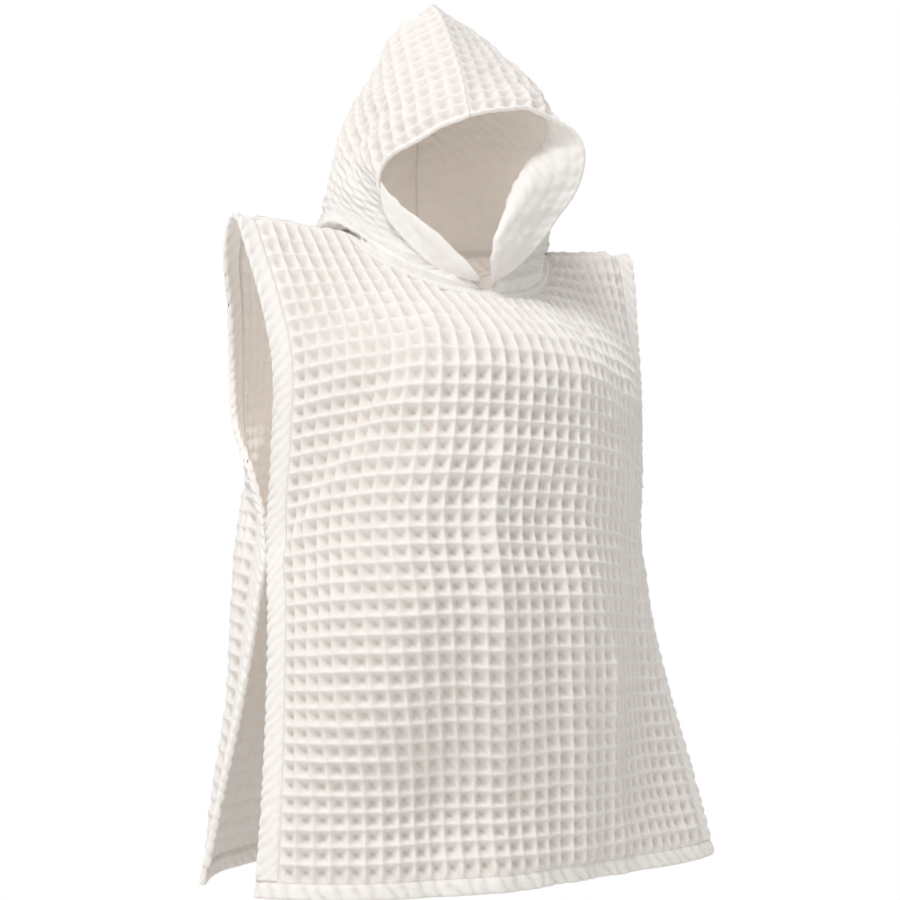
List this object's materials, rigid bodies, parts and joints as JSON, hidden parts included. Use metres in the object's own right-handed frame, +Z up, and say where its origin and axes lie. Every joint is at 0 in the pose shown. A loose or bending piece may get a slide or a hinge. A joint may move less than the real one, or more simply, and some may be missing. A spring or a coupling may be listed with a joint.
{
  "type": "hooded bath poncho",
  "caption": "Child's hooded bath poncho in large-waffle cotton, worn open: pointed hood, free side edges tacked under the arms.",
  "frame": {"origin": "middle of the neck hole, level with the shoulder line, where the wearer's shoulders carry the garment", "axes": "+Z up, -Y to the wearer's front, -X to the wearer's right"},
  "size_m": [0.5164, 0.3562, 0.856],
  "materials": {
    "waffle_cotton": "matt large-waffle cotton weave, ivory white",
    "hem_cotton": "matt folded and stitched cotton hem, ivory white",
    "sewing_thread": "matt cotton-wrapped sewing thread, ivory"
  },
  "bodies": {
    "root": {"front_panel": "waffle_cotton", "back_panel": "waffle_cotton", "hood_left": "waffle_cotton", "hood_right": "waffle_cotton", "neck_band": "hem_cotton", "front_side_hem_left": "hem_cotton", "front_side_hem_right": "hem_cotton", "back_side_hem_left": "hem_cotton", "back_side_hem_right": "hem_cotton", "front_bottom_hem": "hem_cotton", "back_bottom_hem": "hem_cotton", "side_tack_left": "sewing_thread", "side_tack_right": "sewing_thread"}
  },
  "joints": []
}
